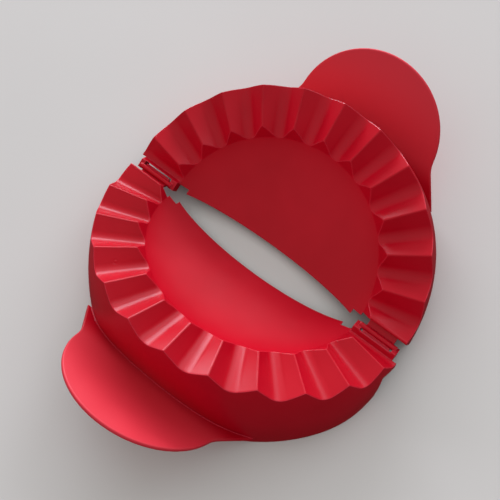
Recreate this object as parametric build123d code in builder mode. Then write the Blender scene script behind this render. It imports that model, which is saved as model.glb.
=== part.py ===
"""Hand press for sealing filled pastry discs, open and standing on the table.

Two equal mouldings face each other and fold together about one line. Each has a half ring of
pleats round a shallow half dish, a thin skirt down to the table and a raised grip tab. At one
end it carries a bar in a slotted frame, at the other a ridge with a hook; the hook of each
moulding closes round the bar of the other.

Frame: X runs along the fold line, +Y from the front half to the back half, +Z up, with the
origin on the table under the middle of the fold line. A half is drawn in its own frame (XY is
the plane of its crests, Y away from the fold, the bar at -X) and then tipped into place.
"""
from build123d import *
from math import asin, atan2, cos, degrees, radians, sin, sqrt, tan
import os

os.makedirs("parts", exist_ok=True)

# Overall
rim_radius = 68.0           # crest circle, outside
crest_height = 12.0         # crest plane above the table, at the fold line
open_tilt = 26.8            # slope of each crest plane when the press lies open
ring_centre_y = -1.3        # the pleat circle is struck from just past the fold line
wall = 1.7                  # skirt and dish thickness

# Pleats
pleat_pitch = 15.0          # degrees from crest to crest
first_crest = 18.75         # degrees from the hook end to the first whole pleat
crest_count = 11
pleat_depth = 4.4
crest_round = 0.8
trough_share = 0.7          # trough rounding as a share of the half pitch
rim_thickness = 1.9         # measured square to the crest plane

# Dish
dish_radius = 51.3
dish_depth = 11.5
lens_edge_y = -0.3          # dish edge from the fold, at the depth below
lens_edge_z = -7.0
lens_lean = 30.0            # degrees the edge leans back as it goes down
notch_x = 42.9              # the dish edge is notched from here to the hinges
notch_y = 1.5

# Skirt
foot_radius = 74.3          # the foot is a circle on the table about the origin,
foot_half_width = 70.0      # eased flat on the bar side
foot_front_y = 69.0         # and at the front,
foot_hook_x = 68.3          # and drawn in to an ellipse on the hook side
foot_hook_y = 79.0
foot_easing = 30            # larger makes the changes between them sharper
skirt_bulge = 1.8           # at the front, halfway down
skirt_end_y = 11.0          # where the skirt stops short of the hinge frame

# Grip tab
tab_half_width = 33.3
tab_slope = 48.9            # from the table, press open
tab_root_y = 63.6
tab_root_z = 8.4
tab_centre = 8.2            # centre of the round end, up the slope from the root
tab_flare = 14.0            # radius where the tab widens into the skirt
flare_at = 14.3             # centre of the flare, up the slope from the root
tab_root_angle = 58.0       # degrees, of the straight sides that run into the skirt
tab_inward = 6.2            # how far it runs back into the skirt wall
tab_thickness = 1.6
tab_edge_round = 0.6

# Hinge
hinge_drop = 1.95           # bar axis below the crest plane
bar_radius = 1.15
hook_fit = 0.06             # running clearance round the bar
hook_thickness = 0.85
hook_root = -45.0           # from here, in its own half's frame
hook_wrap = 175.0           # degrees of bar held by the hook, under the bar
hook_side_gap = 1.0         # hook to the ends of the slot
slot_gap = 0.5              # hook to the long side of the slot
arm_top = 0.5               # top of the hook's arm below the bar axis
arm_thickness = 1.2
frame_outer_x = 67.0
frame_inner_x = 47.4
slot_outer_x = 64.9
slot_inner_x = 50.3
frame_strip = 1.0           # land between the slot and the first pleat
ridge_gap = 0.4             # to the other half's frame, all the way round
ridge_wall = 1.5

# Derived
tilt = radians(open_tilt)
hinge_y = -hinge_drop * tan(tilt)
hinge_z = -hinge_drop
hook_radius = bar_radius + hook_fit + hook_thickness
frame_front_y = hinge_y - bar_radius - 0.1
slot_back_y = hinge_y + hook_radius + slot_gap
frame_back_y = slot_back_y + frame_strip
ridge_face_y = frame_back_y + ridge_gap
ridge_crest_y = ridge_face_y + crest_round
rim_bottom = -pleat_depth - rim_thickness
deep = 70.0                 # further down than anything in a half
near = 36.0                 # pleats are drawn from here, inside the dish
far = rim_radius + 8        # to here, outside the skirt
base = Plane(
    origin=(0, -crest_height * sin(tilt), -crest_height * cos(tilt)),
    x_dir=(1, 0, 0),
    z_dir=(0, sin(tilt), cos(tilt)),
)
waist = Plane(
    origin=base.origin / 2,
    x_dir=(1, 0, 0),
    z_dir=(0, sin(tilt / 2), cos(tilt / 2)),
)
ring_axis = Axis((0, ring_centre_y, 0), (0, 0, 1))


def flank_profile(plane, crest_at, trough_at, drop):
    """Section from a crest to a trough, lowered by drop and closed far below."""
    side = 1 if trough_at > crest_at else -1
    span = abs(trough_at - crest_at)
    trough_round = trough_share * span
    radii = crest_round + trough_round
    reach = sqrt(span ** 2 + (radii - pleat_depth) ** 2)
    angle = asin(radii / reach) - atan2(radii - pleat_depth, span)
    crest = []
    trough = []
    for turn in (0, angle / 2, angle):
        crest.append((crest_at + side * crest_round * sin(turn), -drop - crest_round * (1 - cos(turn))))
        rise = trough_round * (1 - cos(turn)) - pleat_depth - drop
        trough.append((trough_at - side * trough_round * sin(turn), rise))
    with BuildSketch(plane) as profile:
        with BuildLine():
            ThreePointArc(crest[0], crest[1], crest[2])
            Line(crest[2], trough[2])
            ThreePointArc(trough[2], trough[1], trough[0])
            Line(trough[0], (trough_at, -deep))
            Line((trough_at, -deep), (crest_at, -deep))
            Line((crest_at, -deep), crest[0])
        make_face()
    return profile.sketch


def make_pleat_block(drop, ridge_from):
    """Everything under the pleated surface, lowered by drop; the ridge starts at ridge_from."""
    half_pitch = radians(pleat_pitch / 2)
    crest_angles = [radians(first_crest + index * pleat_pitch) for index in range(crest_count)]
    last = crest_angles[-1]
    hook_trough = crest_angles[0] - half_pitch
    with BuildPart() as block:
        for angle in crest_angles:
            for side in ((-1, 1) if angle < last else (-1,)):
                sections = []
                for reach in (near, far):
                    across = Plane(
                        origin=(reach * cos(angle), ring_centre_y + reach * sin(angle), 0),
                        x_dir=(-sin(angle), cos(angle), 0),
                        z_dir=(cos(angle), sin(angle), 0),
                    )
                    sections.append(flank_profile(across, 0, side * reach * tan(half_pitch), drop))
                loft(sections=sections, ruled=True)
        sections = []
        for reach in (near, far):
            crest_y = ring_centre_y - reach * tan(last)
            sections.append(flank_profile(Plane.YZ.offset(-reach), crest_y, ridge_crest_y, drop))
        loft(sections=sections, ruled=True)
        sections = []
        for reach in (near, far):
            trough_y = ring_centre_y + reach * tan(hook_trough)
            sections.append(flank_profile(Plane.YZ.offset(reach), ridge_crest_y, trough_y, drop))
        loft(sections=sections, ruled=True)
        with BuildSketch(Plane.YZ.offset(near)):
            with BuildLine():
                Line((ridge_crest_y, -drop - crest_round), (ridge_crest_y, -drop))
                RadiusArc((ridge_crest_y, -drop), (ridge_face_y, -drop - crest_round), -crest_round)
                Line((ridge_face_y, -drop - crest_round), (ridge_crest_y, -drop - crest_round))
            make_face()
            with Locations(((ridge_face_y + ridge_crest_y) / 2, -drop - crest_round)):
                Rectangle(crest_round, deep, align=(Align.CENTER, Align.MAX))
        extrude(amount=far - near)
        with Locations((near, ridge_from, 0)):
            Box(far, far, 3 * deep, align=(Align.MIN, Align.MAX, Align.CENTER), mode=Mode.SUBTRACT)
        with BuildSketch(Plane.XY.offset(-pleat_depth - drop)):
            with Locations((0, ring_centre_y)):
                Circle(near + 1)
            with Locations((frame_inner_x, ridge_crest_y)):
                Rectangle(frame_inner_x + far, 4 * ridge_crest_y, align=Align.MAX)
        extrude(amount=-deep + pleat_depth + drop)
    return block.part


def make_bowl(radius, depth):
    """Flat ellipsoid on the ring's axis up to trough level, straight from there to the crests."""
    level = degrees(asin(pleat_depth / dish_depth))
    with BuildPart() as bowl:
        with BuildSketch(Plane.XZ.offset(-ring_centre_y)):
            with BuildLine():
                floor = EllipticalCenterArc((0, 0), radius, depth, start_angle=-90, arc_size=90 - level)
                Polyline(floor @ 1, (radius, 0), (0, 0), floor @ 0)
            make_face()
        revolve(axis=ring_axis)
    return bowl.part


def make_skirt_block(inset):
    """Solid from the crest circle down to the foot on the table, bulging a little between."""
    steps = 24
    top_radius = rim_radius - inset
    foot_points = []
    waist_points = []
    for step in range(steps + 1):
        angle = radians(180 * step / steps)
        if cos(angle) > 0:
            flank = sqrt((cos(angle) / foot_hook_x) ** 2 + (sin(angle) / foot_hook_y) ** 2)
        else:
            flank = -cos(angle) / foot_half_width
        limits = (1 / foot_radius, flank, sin(angle) / foot_front_y)
        reach = sum(limit ** foot_easing for limit in limits) ** (-1 / foot_easing) - inset
        foot_points.append((reach * cos(angle), reach * sin(angle) if step < steps else 0))
        top = Vector(top_radius * cos(angle), ring_centre_y + top_radius * sin(angle), 0)
        foot = base.from_local_coords(Vector(*foot_points[-1]))
        top_height = waist.to_local_coords(top).Z
        share = top_height / (top_height - waist.to_local_coords(foot).Z)
        bulge = skirt_bulge * (1 + 2 * sin(angle)) / 3
        out = Vector(cos(angle), sin(angle), 0) * bulge
        between = waist.to_local_coords(top + (foot - top) * share + out)
        waist_points.append((between.X, between.Y))
    with BuildPart() as block:
        with BuildSketch(Plane.XY):
            with BuildLine():
                CenterArc((0, ring_centre_y), top_radius, 0, 180)
                Line((-top_radius, ring_centre_y), (top_radius, ring_centre_y))
            make_face()
        for level, points in ((waist, waist_points), (base, foot_points)):
            with BuildSketch(level):
                with BuildLine():
                    Spline(*points)
                    Line(points[-1], points[0])
                make_face()
        loft()
    return block.part


def make_tab():
    """Grip tab, run a little way into the skirt wall."""
    slope = radians(tab_slope) - tilt
    height = tab_root_z - crest_height
    root_y = tab_root_y * cos(tilt) + height * sin(tilt)
    root_z = height * cos(tilt) - tab_root_y * sin(tilt)
    face = Plane(origin=(0, root_y, root_z), x_dir=(1, 0, 0), z_dir=(0, -sin(slope), cos(slope)))
    reach = tab_half_width + tab_flare
    flare_x = sqrt(reach ** 2 - (flare_at - tab_centre) ** 2)
    touch_x = flare_x * tab_half_width / reach
    touch_y = tab_centre + (flare_at - tab_centre) * tab_half_width / reach
    side = radians(tab_root_angle)
    end_x = flare_x - tab_flare * sin(side)
    end_y = flare_at - tab_flare * cos(side)
    root_x = end_x + (end_y + tab_inward) / tan(side)
    right = [(root_x, -tab_inward), (end_x, end_y), (flare_x, flare_at), (touch_x, touch_y)]
    left = [(-x, y) for x, y in reversed(right)]
    with BuildPart() as tab:
        with BuildSketch(face):
            with BuildLine():
                Polyline(*right, *left, close=True)
            make_face()
            with Locations((-flare_x, flare_at), (flare_x, flare_at)):
                Circle(tab_flare, mode=Mode.SUBTRACT)
            with Locations((0, tab_centre)):
                Circle(tab_half_width)
            with Locations((0, -tab_inward)):
                Rectangle(9 * tab_flare, 9 * tab_flare, align=(Align.CENTER, Align.MAX), mode=Mode.SUBTRACT)
        extrude(amount=-tab_thickness)
        inside = face.offset(-tab_thickness / 2)
        rims = tab.edges().filter_by(
            lambda e: abs(abs(inside.to_local_coords(e @ 0.5).Z) - tab_thickness / 2) < 0.01
            and inside.to_local_coords(e @ 0.5).Y > 1 - tab_inward
        )
        fillet(rims, tab_edge_round)
        add(make_skirt_block(wall / 2), mode=Mode.SUBTRACT)
    return tab.part


def make_shell():
    """Pleats, dish and skirt, trimmed along the fold."""
    with BuildPart() as hollow:
        add(make_skirt_block(wall))
        add(make_pleat_block(rim_thickness, ridge_face_y + ridge_wall), mode=Mode.INTERSECT)
        add(make_bowl(dish_radius + wall, dish_depth + wall), mode=Mode.SUBTRACT)
    with BuildPart() as shell:
        add(make_skirt_block(0))
        add(make_pleat_block(0, ridge_face_y), mode=Mode.INTERSECT)
        add(make_bowl(dish_radius, dish_depth), mode=Mode.SUBTRACT)
        add(hollow.part, mode=Mode.SUBTRACT)
        with Locations(Location((0, lens_edge_y, lens_edge_z), (lens_lean, 0, 0))):
            Box(
                2 * frame_inner_x,
                deep,
                deep,
                align=(Align.CENTER, Align.MAX, Align.CENTER),
                mode=Mode.SUBTRACT,
            )
        outward = (Align.MIN, Align.MAX, Align.CENTER)
        inward = (Align.MAX, Align.MAX, Align.CENTER)
        with Locations((frame_inner_x - ridge_gap, ridge_face_y, 0)):
            Box(far, deep, 2 * deep, align=outward, mode=Mode.SUBTRACT)
        with Locations((notch_x, notch_y, 0), (-frame_inner_x, notch_y, 0)):
            Box(frame_inner_x - notch_x, deep, 2 * deep, align=outward, mode=Mode.SUBTRACT)
        with Locations((-frame_inner_x, frame_front_y, 0), (-frame_outer_x, frame_back_y, 0)):
            Box(far, deep, 2 * deep, align=inward, mode=Mode.SUBTRACT)
        with Locations((-frame_inner_x - wall, skirt_end_y, rim_bottom)):
            Box(far, deep, deep, align=Align.MAX, mode=Mode.SUBTRACT)
    return shell.part


def make_hinge_frame():
    """Slotted frame, sloping down to the first pleat, and the bar across it."""
    with BuildPart() as frame:
        with BuildSketch(Plane.YZ.offset(-frame_outer_x)):
            with BuildLine():
                Polyline(
                    (frame_front_y, rim_bottom),
                    (frame_back_y, rim_bottom),
                    (frame_back_y, -pleat_depth),
                    (slot_back_y, hinge_z),
                    (frame_front_y, hinge_z),
                    (frame_front_y, rim_bottom),
                )
            make_face()
        extrude(amount=frame_outer_x - frame_inner_x)
        with Locations((-slot_inner_x, slot_back_y, 0)):
            Box(
                slot_outer_x - slot_inner_x,
                deep,
                deep,
                align=(Align.MAX, Align.MAX, Align.CENTER),
                mode=Mode.SUBTRACT,
            )
        bar_from = (slot_outer_x + frame_outer_x) / 2
        bar_to = (slot_inner_x + frame_inner_x) / 2
        with BuildSketch(Plane.YZ.offset(-bar_from)):
            with Locations((hinge_y, hinge_z)):
                Circle(bar_radius)
        extrude(amount=bar_from - bar_to)
    return frame.part


def make_hook():
    """Hook that goes under the other half's bar, on an arm from the ridge wall."""
    inner_x = slot_inner_x + hook_side_gap
    outer_x = slot_outer_x - hook_side_gap
    tip = hook_root - hook_wrap + 360
    mouth = [(hinge_y, hinge_z)]
    for step in range(4):
        angle = radians(hook_root + (tip - hook_root) * step / 3)
        mouth.append((hinge_y + 9 * hook_radius * cos(angle), hinge_z + 9 * hook_radius * sin(angle)))
    with BuildPart() as hook:
        with BuildSketch(Plane.YZ.offset(inner_x)):
            with Locations((hinge_y, hinge_z)):
                Circle(hook_radius)
            Polygon(*mouth, align=None, mode=Mode.SUBTRACT)
            with Locations((hinge_y, hinge_z - arm_top)):
                Rectangle(ridge_face_y + 0.5 - hinge_y, arm_thickness, align=(Align.MIN, Align.MAX))
            with Locations((hinge_y, hinge_z)):
                Circle(bar_radius + hook_fit, mode=Mode.SUBTRACT)
        extrude(amount=outer_x - inner_x)
    return hook.part


def make_half():
    """One moulding, in its own frame."""
    with BuildPart() as half:
        add(make_shell())
        with Locations((-slot_inner_x, slot_back_y, 0)):
            Box(
                slot_outer_x - slot_inner_x,
                deep,
                2 * deep,
                align=(Align.MAX, Align.MAX, Align.CENTER),
                mode=Mode.SUBTRACT,
            )
        add(make_hinge_frame())
        add(make_hook())
        add(make_tab())
    return half.part


half_part = make_half()

# Back half: tipped about the fold and stood on the table
with BuildPart() as back_half:
    with Locations(Location((0, 0, crest_height), (open_tilt, 0, 0))):
        add(half_part)

# Front half: the same moulding turned half round
with BuildPart() as front_half:
    with Locations(Location((0, 0, crest_height), (-open_tilt, 0, 180))):
        add(half_part)

back_half.part.label = "back_half"
front_half.part.label = "front_half"
export_step(back_half.part, "parts/back_half.step")
export_step(front_half.part, "parts/front_half.step")
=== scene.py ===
"""Looks for the pastry press: satin red moulded plastic on both halves, a pale floor and soft light."""

from math import cos, radians, sin

import bpy
from mathutils import Matrix, Vector

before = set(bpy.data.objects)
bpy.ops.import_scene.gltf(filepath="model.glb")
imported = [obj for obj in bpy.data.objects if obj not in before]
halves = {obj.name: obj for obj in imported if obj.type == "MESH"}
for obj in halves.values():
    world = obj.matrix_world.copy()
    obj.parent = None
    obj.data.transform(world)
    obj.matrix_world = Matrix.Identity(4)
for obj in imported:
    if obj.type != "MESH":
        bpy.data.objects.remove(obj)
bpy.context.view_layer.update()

MM = 0.001

# ---------------------------------------------------------------- shader maths
MIXED_COLOUR = 2  # the Mix node's third output is the colour


class Sock:
    """A shader socket that takes part in Python expressions."""

    def __init__(self, tree, link):
        self.tree = tree
        self.link = link

    def node(self, kind, settings=None, values=None, out=0):
        """Adds any node: its settings first, then the values or links of its sockets."""
        made = self.tree.nodes.new(kind)
        for name, value in (settings or {}).items():
            setattr(made, name, value)
        for name, value in (values or {}).items():
            if isinstance(value, Sock):
                self.tree.links.new(value.link, made.inputs[name])
            else:
                made.inputs[name].default_value = value
        return Sock(self.tree, made.outputs[out])

    def math(self, operation, *terms):
        return self.node("ShaderNodeMath", {"operation": operation}, dict(enumerate(terms)))

    def __add__(self, other):
        return self.math("ADD", self, other)

    def __sub__(self, other):
        return self.math("SUBTRACT", self, other)

    def __rsub__(self, other):
        return self.math("SUBTRACT", other, self)

    def __mul__(self, other):
        return self.math("MULTIPLY", self, other)

    def __abs__(self):
        return self.math("ABSOLUTE", self)

    __radd__ = __add__
    __rmul__ = __mul__

    def vector(self, operation, other):
        """A number from two vectors, such as their distance."""
        return self.node("ShaderNodeVectorMath", {"operation": operation}, {0: self, 1: other}, out="Value")

    def step(self, low, high):
        """0 below low, 1 above high, smooth between."""
        settings = {"interpolation_type": "SMOOTHSTEP"}
        return self.node("ShaderNodeMapRange", settings, {"Value": self, "From Min": low, "From Max": high})

    def mixed(self, colour_a, colour_b):
        """Colour a where this is 0, colour b where it is 1."""
        values = {"Factor": self, "A": colour_a, "B": colour_b}
        return self.node("ShaderNodeMix", {"data_type": "RGBA"}, values, out=MIXED_COLOUR)

    def noise(self, scale, detail=3, roughness=0.5):
        values = {"Vector": self, "Scale": scale, "Detail": detail, "Roughness": roughness}
        return self.node("ShaderNodeTexNoise", None, values)

    def ray(self, kind):
        """1 on rays of one kind, such as Is Camera Ray, and 0 on all others."""
        return self.node("ShaderNodeLightPath", out=kind)


def new_material(name):
    """An empty node material: the material, its shader and a start for expressions."""
    made = bpy.data.materials.new(name)
    made.use_nodes = True
    shader = made.node_tree.nodes["Principled BSDF"]
    place = made.node_tree.nodes.new("ShaderNodeTexCoord")
    return made, shader, Sock(made.node_tree, place.outputs["Object"])


def feed(start, shader, **inputs):
    """Links expressions to the shader's sockets: Base_Color stands for Base Color."""
    for name, value in inputs.items():
        start.tree.links.new(value.link, shader.inputs[name.replace("_", " ")])


# ---------------------------------------------------------------- red plastic
RED = (0.58, 0.0012, 0.0145, 1)
RED_DEEP = (0.49, 0.0009, 0.0110, 1)
# Lighter colour for rounded edges and creases: a painted highlight, with a little wear on the outer edges
RED_EDGE_WEAR_AND_HIGHLIGHT = (0.85, 0.0500, 0.0850, 1)
# Lighter pink on the tabs: a painted sheen, standing in for light on their surface
RED_TAB_SHEEN = (0.78, 0.0400, 0.0620, 1)
SATIN = 0.26
PLASTIC_IOR = 1.46
PLASTIC_SHINE = 0.34

CLOUD_SCALE = 18
FLOW_SCALE = 140
GRAIN_SCALE = 2400
SKIN_DEPTH = 0.03 * MM
SKIN_STRENGTH = 0.28

EDGE_ROUNDING = 0.7 * MM
EDGE_WEAR_AND_HIGHLIGHT_FROM = 0.01  # one less the cosine between the flat face and the rounded edge
EDGE_WEAR_AND_HIGHLIGHT_FULL = 0.12
TAB_FROM = 64 * MM  # from the fold line to where the tabs' rougher skin and painted sheen begin
TAB_FULL = 71 * MM

PIN_SPOT = (-35.9 * MM, -43.1 * MM, 30.3 * MM)
PIN_RING = 0.75 * MM
PIN_LINE = 0.15 * MM
PIN_LINE_END = 0.4 * MM
PIN_DEPTH = 14


def pin_marks(place):
    """The faint ring that an ejector pin leaves on one pleat of each half."""
    across, along, height = PIN_SPOT
    front = abs(place.vector("DISTANCE", (across, along, height)) - PIN_RING)
    back = abs(place.vector("DISTANCE", (-across, -along, height)) - PIN_RING)
    return (1 - front.step(PIN_LINE, PIN_LINE_END)) + (1 - back.step(PIN_LINE, PIN_LINE_END))


def red_plastic():
    """Satin moulded plastic: a fine eroded skin, faint flow clouding, edges and creases painted lighter as
    a highlight, with a little wear on the outer edges.
    """
    made, shader, place = new_material("red_satin_plastic")
    cloud = place.noise(CLOUD_SCALE, roughness=0.6)
    flow = place.noise(FLOW_SCALE, roughness=0.55)
    grain = place.noise(GRAIN_SCALE, detail=2)

    flat_face = place.node("ShaderNodeNewGeometry", out="Normal")
    round_edges = place.node("ShaderNodeBevel", {"samples": 8}, {"Radius": EDGE_ROUNDING})
    # Mask of rounded edges and creases where a highlight is painted in, partly edge wear
    edge_wear_and_highlight = (1 - round_edges.vector("DOT_PRODUCT", flat_face)).step(EDGE_WEAR_AND_HIGHLIGHT_FROM, EDGE_WEAR_AND_HIGHLIGHT_FULL)
    from_fold = abs(place.node("ShaderNodeSeparateXYZ", None, {"Vector": place}, out="Y"))
    # Mask of the tabs: rougher skin there, and a painted sheen in the colour
    tab_matt_and_sheen = from_fold.step(TAB_FROM, TAB_FULL)

    colour = cloud.step(0.3, 0.75).mixed(RED_DEEP, RED)
    # Tabs painted lighter: a painted sheen; the added roughness below is their real duller skin
    colour = (tab_matt_and_sheen * 0.7).mixed(colour, RED_TAB_SHEEN)
    # Edges and creases painted lighter: a painted highlight line, partly edge wear
    colour = (edge_wear_and_highlight * 0.75).mixed(colour, RED_EDGE_WEAR_AND_HIGHLIGHT)
    rough = SATIN + cloud * 0.06 + flow * 0.05 + tab_matt_and_sheen * 0.14 - edge_wear_and_highlight * 0.05

    height = grain * 0.6 + flow - pin_marks(place) * PIN_DEPTH
    relief = {"Strength": SKIN_STRENGTH, "Distance": SKIN_DEPTH, "Height": height, "Normal": round_edges}
    skin = place.node("ShaderNodeBump", None, relief)
    feed(place, shader, Base_Color=colour, Roughness=rough, Normal=skin)
    shader.inputs["IOR"].default_value = PLASTIC_IOR
    shader.inputs["Specular IOR Level"].default_value = PLASTIC_SHINE
    return made


plastic = red_plastic()
for half in halves.values():
    half.data.materials.clear()
    half.data.materials.append(plastic)


# ---------------------------------------------------------------- floor
FLOOR_SIZE = 1.6
FLOOR_SHINE = 0.2
FLOOR_PALE = (0.60, 0.58, 0.55, 1)
FLOOR_PALER = (0.66, 0.64, 0.61, 1)
FLOOR_LIGHTING = (0.26, 0.22, 0.20, 1)
FLOOR_MIRRORED = (0.07, 0.06, 0.055, 1)


def pale_floor():
    """Pale to the camera, and duller where it only lights the press or is mirrored in it."""
    made, shader, place = new_material("pale_floor")
    cloud = place.noise(6)
    seen = cloud.mixed(FLOOR_PALE, FLOOR_PALER)
    unseen = place.ray("Is Glossy Ray").mixed(FLOOR_LIGHTING, FLOOR_MIRRORED)
    colour = place.ray("Is Camera Ray").mixed(unseen, seen)
    feed(place, shader, Base_Color=colour, Roughness=0.6 + cloud * 0.1)
    shader.inputs["Specular IOR Level"].default_value = FLOOR_SHINE
    return made


bpy.ops.mesh.primitive_plane_add(size=FLOOR_SIZE)
floor = bpy.context.object
floor.name = "floor"
floor.data.materials.append(pale_floor())


# ---------------------------------------------------------------- light
LIGHTER_SIDE = Vector((-0.55, 0.14, 0.82)).normalized()
ROOM_DARK = (0.08, 0.075, 0.075, 1)
ROOM_BRIGHT = (0.98, 0.99, 1.0, 1)
ROOM_STRENGTH = 0.86
BACKDROP = (0.80, 0.80, 0.79, 1)
BLACK = (0, 0, 0, 1)

DAYLIGHT = (0.98, 0.98, 1.12)
LAMP_AWAY = 8.0
LAMP_AIM = Vector((0, 0, 0.02))


def soft_room():
    """A room that is lighter on one side and above, and hardly mirrored in the plastic."""
    made = bpy.data.worlds.new("soft_room")
    made.use_nodes = True
    tree = made.node_tree
    start = Sock(tree, tree.nodes.new("ShaderNodeTexCoord").outputs["Generated"])
    towards = start.vector("DOT_PRODUCT", tuple(LIGHTER_SIDE))
    colour = towards.step(-0.7, 1.0).mixed(ROOM_DARK, ROOM_BRIGHT)
    colour = (start.ray("Is Glossy Ray") * 0.9).mixed(colour, BLACK)
    colour = start.ray("Is Camera Ray").mixed(colour, BACKDROP)
    tree.links.new(colour.link, tree.nodes["Background"].inputs["Color"])
    tree.nodes["Background"].inputs["Strength"].default_value = ROOM_STRENGTH
    return made


def soft_lamp(name, azimuth, elevation, width, height, power):
    """A broad lamp that the camera doesn't see, placed by its two angles round the press."""
    lamp = bpy.data.lights.new(name, "AREA")
    lamp.shape = "RECTANGLE"
    lamp.size = width
    lamp.size_y = height
    lamp.energy = power
    lamp.color = DAYLIGHT
    holder = bpy.data.objects.new(name, lamp)
    bpy.context.scene.collection.objects.link(holder)
    level = LAMP_AWAY * cos(radians(elevation))
    rise = LAMP_AWAY * sin(radians(elevation))
    holder.location = (level * cos(radians(azimuth)), level * sin(radians(azimuth)), rise)
    holder.rotation_euler = (LAMP_AIM - holder.location).to_track_quat("-Z", "Y").to_euler()
    holder.visible_camera = False


bpy.context.scene.world = soft_room()
soft_lamp("window", azimuth=131, elevation=13.5, width=7.20, height=3.07, power=597)
soft_lamp("side_window", azimuth=85, elevation=28.8, width=5.33, height=5.33, power=156)


# ---------------------------------------------------------------- camera
EYE = (0.07823, -0.08776, 0.30308)
EYE_RIGHT = Vector((0.7797, 0.6250, -0.0372))
EYE_DOWN = Vector((0.5692, -0.7323, -0.3740))
EYE_AHEAD = Vector((-0.2610, 0.2704, -0.9267))
FOCAL_PIXELS = 777.388
FRAME_PIXELS = 500
SENSOR = 36

camera_data = bpy.data.cameras.new("camera")
camera_data.sensor_width = SENSOR
camera_data.lens = FOCAL_PIXELS / FRAME_PIXELS * SENSOR
camera_data.clip_start = 10 * MM
camera = bpy.data.objects.new("camera", camera_data)
bpy.context.scene.collection.objects.link(camera)
turn = Matrix((EYE_RIGHT, -EYE_DOWN, -EYE_AHEAD)).transposed()
camera.matrix_world = Matrix.Translation(EYE) @ turn.to_4x4()
bpy.context.scene.camera = camera

bpy.context.scene.view_settings.view_transform = "Standard"
